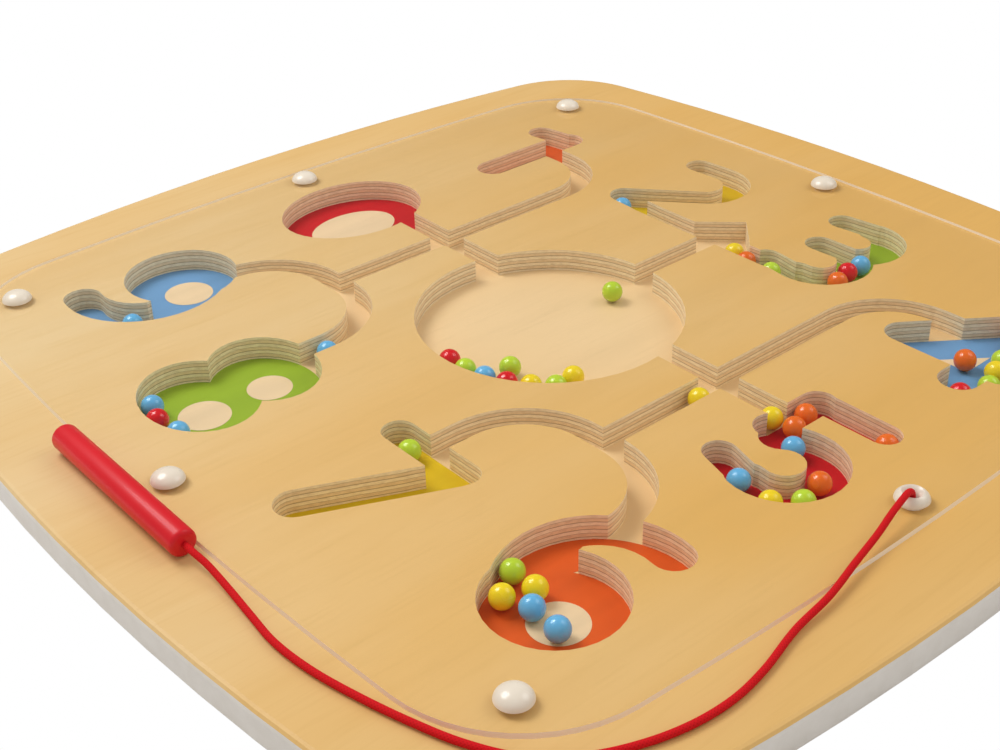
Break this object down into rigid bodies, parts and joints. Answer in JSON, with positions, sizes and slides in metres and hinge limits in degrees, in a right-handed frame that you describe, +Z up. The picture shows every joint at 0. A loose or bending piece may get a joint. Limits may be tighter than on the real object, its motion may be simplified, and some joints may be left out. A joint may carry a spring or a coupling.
{
  "type": "magnetic number sorting board",
  "caption": "Square plywood board with bowed sides: coloured balls roll under a clear cover through channels into number-shaped pockets, drawn by a corded magnet wand.",
  "frame": {"origin": "middle of the underside of the back panel", "axes": "+Z up out of the board, +X to the right of the numbers, +Y to the top of the numbers"},
  "size_m": [0.4, 0.4, 0.0215],
  "materials": {
    "birch_wood": "clear lacquered birch plywood",
    "clear_acrylic": "polished clear sheet",
    "white_plastic": "glossy moulded",
    "red_braid": "braided cord",
    "red_lacquer": "red lacquered turned wood",
    "magnet": "plated magnet",
    "red_paint": "glossy paint on steel",
    "orange_paint": "glossy paint on steel",
    "yellow_paint": "glossy paint on steel",
    "green_paint": "glossy paint on steel",
    "blue_paint": "glossy paint on steel"
  },
  "bodies": {
    "board": {"back_panel": "birch_wood", "maze_panel": "birch_wood", "clear_cover": "clear_acrylic", "cover_rivet_1": "white_plastic", "cover_rivet_2": "white_plastic", "cover_rivet_3": "white_plastic", "cover_rivet_4": "white_plastic", "cover_rivet_5": "white_plastic", "cover_rivet_6": "white_plastic", "cover_rivet_7": "white_plastic", "cord_bushing": "white_plastic", "cord": "red_braid", "cord_knot": "red_braid"},
    "wand": {"wand_barrel": "red_lacquer", "wand_magnet": "magnet"},
    "red_ball_1": {"red_ball_1": "red_paint"},
    "red_ball_2": {"red_ball_2": "red_paint"},
    "red_ball_3": {"red_ball_3": "red_paint"},
    "red_ball_4": {"red_ball_4": "red_paint"},
    "red_ball_5": {"red_ball_5": "red_paint"},
    "red_ball_6": {"red_ball_6": "red_paint"},
    "red_ball_7": {"red_ball_7": "red_paint"},
    "orange_ball_1": {"orange_ball_1": "orange_paint"},
    "orange_ball_2": {"orange_ball_2": "orange_paint"},
    "orange_ball_3": {"orange_ball_3": "orange_paint"},
    "orange_ball_4": {"orange_ball_4": "orange_paint"},
    "orange_ball_5": {"orange_ball_5": "orange_paint"},
    "orange_ball_6": {"orange_ball_6": "orange_paint"},
    "orange_ball_7": {"orange_ball_7": "orange_paint"},
    "orange_ball_8": {"orange_ball_8": "orange_paint"},
    "yellow_ball_1": {"yellow_ball_1": "yellow_paint"},
    "yellow_ball_2": {"yellow_ball_2": "yellow_paint"},
    "yellow_ball_3": {"yellow_ball_3": "yellow_paint"},
    "yellow_ball_4": {"yellow_ball_4": "yellow_paint"},
    "yellow_ball_5": {"yellow_ball_5": "yellow_paint"},
    "yellow_ball_6": {"yellow_ball_6": "yellow_paint"},
    "yellow_ball_7": {"yellow_ball_7": "yellow_paint"},
    "yellow_ball_8": {"yellow_ball_8": "yellow_paint"},
    "yellow_ball_9": {"yellow_ball_9": "yellow_paint"},
    "green_ball_1": {"green_ball_1": "green_paint"},
    "green_ball_2": {"green_ball_2": "green_paint"},
    "green_ball_3": {"green_ball_3": "green_paint"},
    "green_ball_4": {"green_ball_4": "green_paint"},
    "green_ball_5": {"green_ball_5": "green_paint"},
    "green_ball_6": {"green_ball_6": "green_paint"},
    "green_ball_7": {"green_ball_7": "green_paint"},
    "green_ball_8": {"green_ball_8": "green_paint"},
    "green_ball_9": {"green_ball_9": "green_paint"},
    "green_ball_10": {"green_ball_10": "green_paint"},
    "blue_ball_1": {"blue_ball_1": "blue_paint"},
    "blue_ball_2": {"blue_ball_2": "blue_paint"},
    "blue_ball_3": {"blue_ball_3": "blue_paint"},
    "blue_ball_4": {"blue_ball_4": "blue_paint"},
    "blue_ball_5": {"blue_ball_5": "blue_paint"},
    "blue_ball_6": {"blue_ball_6": "blue_paint"},
    "blue_ball_7": {"blue_ball_7": "blue_paint"},
    "blue_ball_8": {"blue_ball_8": "blue_paint"},
    "blue_ball_9": {"blue_ball_9": "blue_paint"},
    "blue_ball_10": {"blue_ball_10": "blue_paint"},
    "blue_ball_11": {"blue_ball_11": "blue_paint"}
  },
  "joints": [
    {"name": "wand_lift", "type": "slide", "parent": "board", "child": "wand", "axis": [0, 0, 1], "range_m": [0, 0.1], "deforming": ["cord"]},
    {"name": "red_ball_1_roll", "type": "slide", "parent": "board", "child": "red_ball_1", "axis": [1, 0, 0], "range_m": [0, 0.006]},
    {"name": "red_ball_2_roll", "type": "slide", "parent": "board", "child": "red_ball_2", "axis": [0.9659, 0.2588, 0], "range_m": [-0.0035, 0.0005]},
    {"name": "red_ball_3_roll", "type": "slide", "parent": "board", "child": "red_ball_3", "axis": [0.866, 0.5, 0], "range_m": [-0.0055, 0.0005]},
    {"name": "red_ball_4_roll", "type": "slide", "parent": "board", "child": "red_ball_4", "axis": [0.866, 0.5, 0], "range_m": [-0.0095, 0]},
    {"name": "red_ball_5_roll", "type": "slide", "parent": "board", "child": "red_ball_5", "axis": [0.2588, 0.9659, 0], "range_m": [0, 0.04]},
    {"name": "red_ball_6_roll", "type": "slide", "parent": "board", "child": "red_ball_6", "axis": [-0.9563, 0.2924, 0], "range_m": [0, 0.016]},
    {"name": "red_ball_7_roll", "type": "slide", "parent": "board", "child": "red_ball_7", "axis": [-0.5, 0.866, 0], "range_m": [-0.001, 0.0015]},
    {"name": "orange_ball_1_roll", "type": "slide", "parent": "board", "child": "orange_ball_1", "axis": [1, 0, 0], "range_m": [0, 0.004]},
    {"name": "orange_ball_2_roll", "type": "slide", "parent": "board", "child": "orange_ball_2", "axis": [0.2588, 0.9659, 0], "range_m": [-0.0125, 0.0005]},
    {"name": "orange_ball_3_roll", "type": "slide", "parent": "board", "child": "orange_ball_3", "axis": [0.9659, 0.2588, 0], "range_m": [-0.0255, 0]},
    {"name": "orange_ball_4_roll", "type": "slide", "parent": "board", "child": "orange_ball_4", "axis": [-0.7071, 0.7071, 0], "range_m": [-0.001, 0.0025]},
    {"name": "orange_ball_5_roll", "type": "slide", "parent": "board", "child": "orange_ball_5", "axis": [0.2588, 0.9659, 0], "range_m": [-0.0115, 0.001]},
    {"name": "orange_ball_6_roll", "type": "slide", "parent": "board", "child": "orange_ball_6", "axis": [0.866, 0.5, 0], "range_m": [0, 0.0105]},
    {"name": "orange_ball_7_roll", "type": "slide", "parent": "board", "child": "orange_ball_7", "axis": [1, 0, 0], "range_m": [-0.0115, 0]},
    {"name": "orange_ball_8_roll", "type": "slide", "parent": "board", "child": "orange_ball_8", "axis": [-0.5, 0.866, 0], "range_m": [0, 0.013]},
    {"name": "yellow_ball_1_roll", "type": "slide", "parent": "board", "child": "yellow_ball_1", "axis": [0, 1, 0], "range_m": [-0.04, 0.0005]},
    {"name": "yellow_ball_2_roll", "type": "slide", "parent": "board", "child": "yellow_ball_2", "axis": [1, 0, 0], "range_m": [-0.02, 0]},
    {"name": "yellow_ball_3_roll", "type": "slide", "parent": "board", "child": "yellow_ball_3", "axis": [0.7071, 0.7071, 0], "range_m": [-0.0055, 0.0005]},
    {"name": "yellow_ball_4_roll", "type": "slide", "parent": "board", "child": "yellow_ball_4", "axis": [1, 0, 0], "range_m": [-0.04, 0]},
    {"name": "yellow_ball_5_roll", "type": "slide", "parent": "board", "child": "yellow_ball_5", "axis": [0.9659, 0.2588, 0], "range_m": [-0.0065, 0]},
    {"name": "yellow_ball_6_roll", "type": "slide", "parent": "board", "child": "yellow_ball_6", "axis": [0.7071, 0.7071, 0], "range_m": [-0.001, 0.021]},
    {"name": "yellow_ball_7_roll", "type": "slide", "parent": "board", "child": "yellow_ball_7", "axis": [-0.7071, 0.7071, 0], "range_m": [-0.0135, 0.003]},
    {"name": "yellow_ball_8_roll", "type": "slide", "parent": "board", "child": "yellow_ball_8", "axis": [0, 1, 0], "range_m": [0, 0.03]},
    {"name": "yellow_ball_9_roll", "type": "slide", "parent": "board", "child": "yellow_ball_9", "axis": [-0.5736, 0.8192, 0], "range_m": [0, 0.018]},
    {"name": "green_ball_1_roll", "type": "slide", "parent": "board", "child": "green_ball_1", "axis": [0, 1, 0], "range_m": [-0.04, 0.008]},
    {"name": "green_ball_2_roll", "type": "slide", "parent": "board", "child": "green_ball_2", "axis": [-0.4695, 0.8829, 0], "range_m": [0, 0.02]},
    {"name": "green_ball_3_roll", "type": "slide", "parent": "board", "child": "green_ball_3", "axis": [0.9659, 0.2588, 0], "range_m": [0, 0.012]},
    {"name": "green_ball_4_roll", "type": "slide", "parent": "board", "child": "green_ball_4", "axis": [1, 0, 0], "range_m": [-0.025, 0.0005]},
    {"name": "green_ball_5_roll", "type": "slide", "parent": "board", "child": "green_ball_5", "axis": [0.866, 0.5, 0], "range_m": [-0.006, 0.004]},
    {"name": "green_ball_6_roll", "type": "slide", "parent": "board", "child": "green_ball_6", "axis": [0.5, 0.866, 0], "range_m": [-0.002, 0.006]},
    {"name": "green_ball_7_roll", "type": "slide", "parent": "board", "child": "green_ball_7", "axis": [0.2588, 0.9659, 0], "range_m": [0, 0.0385]},
    {"name": "green_ball_8_roll", "type": "slide", "parent": "board", "child": "green_ball_8", "axis": [1, 0, 0], "range_m": [-0.0075, 0.028]},
    {"name": "green_ball_9_roll", "type": "slide", "parent": "board", "child": "green_ball_9", "axis": [-0.2588, 0.9659, 0], "range_m": [0, 0.018]},
    {"name": "green_ball_10_roll", "type": "slide", "parent": "board", "child": "green_ball_10", "axis": [0.9659, 0.2588, 0], "range_m": [0, 0.002]},
    {"name": "blue_ball_1_roll", "type": "slide", "parent": "board", "child": "blue_ball_1", "axis": [0, 1, 0], "range_m": [-0.029, 0.0055]},
    {"name": "blue_ball_2_roll", "type": "slide", "parent": "board", "child": "blue_ball_2", "axis": [1, 0, 0], "range_m": [-0.001, 0.034]},
    {"name": "blue_ball_3_roll", "type": "slide", "parent": "board", "child": "blue_ball_3", "axis": [0.5, 0.866, 0], "range_m": [0, 0.013]},
    {"name": "blue_ball_4_roll", "type": "slide", "parent": "board", "child": "blue_ball_4", "axis": [0.2588, 0.9659, 0], "range_m": [-0.006, 0.0015]},
    {"name": "blue_ball_5_roll", "type": "slide", "parent": "board", "child": "blue_ball_5", "axis": [-0.9659, 0.2588, 0], "range_m": [0, 0.012]},
    {"name": "blue_ball_6_roll", "type": "slide", "parent": "board", "child": "blue_ball_6", "axis": [0.7071, 0.7071, 0], "range_m": [-0.0005, 0.0235]},
    {"name": "blue_ball_7_roll", "type": "slide", "parent": "board", "child": "blue_ball_7", "axis": [0.7071, 0.7071, 0], "range_m": [-0.008, 0.014]},
    {"name": "blue_ball_8_roll", "type": "slide", "parent": "board", "child": "blue_ball_8", "axis": [0, 1, 0], "range_m": [-0.0005, 0.04]},
    {"name": "blue_ball_9_roll", "type": "slide", "parent": "board", "child": "blue_ball_9", "axis": [0.2588, 0.9659, 0], "range_m": [0, 0.025]},
    {"name": "blue_ball_10_roll", "type": "slide", "parent": "board", "child": "blue_ball_10", "axis": [0.2588, 0.9659, 0], "range_m": [-0.0045, 0.0265]},
    {"name": "blue_ball_11_roll", "type": "slide", "parent": "board", "child": "blue_ball_11", "axis": [-0.2588, 0.9659, 0], "range_m": [-0.001, 0.002]}
  ]
}
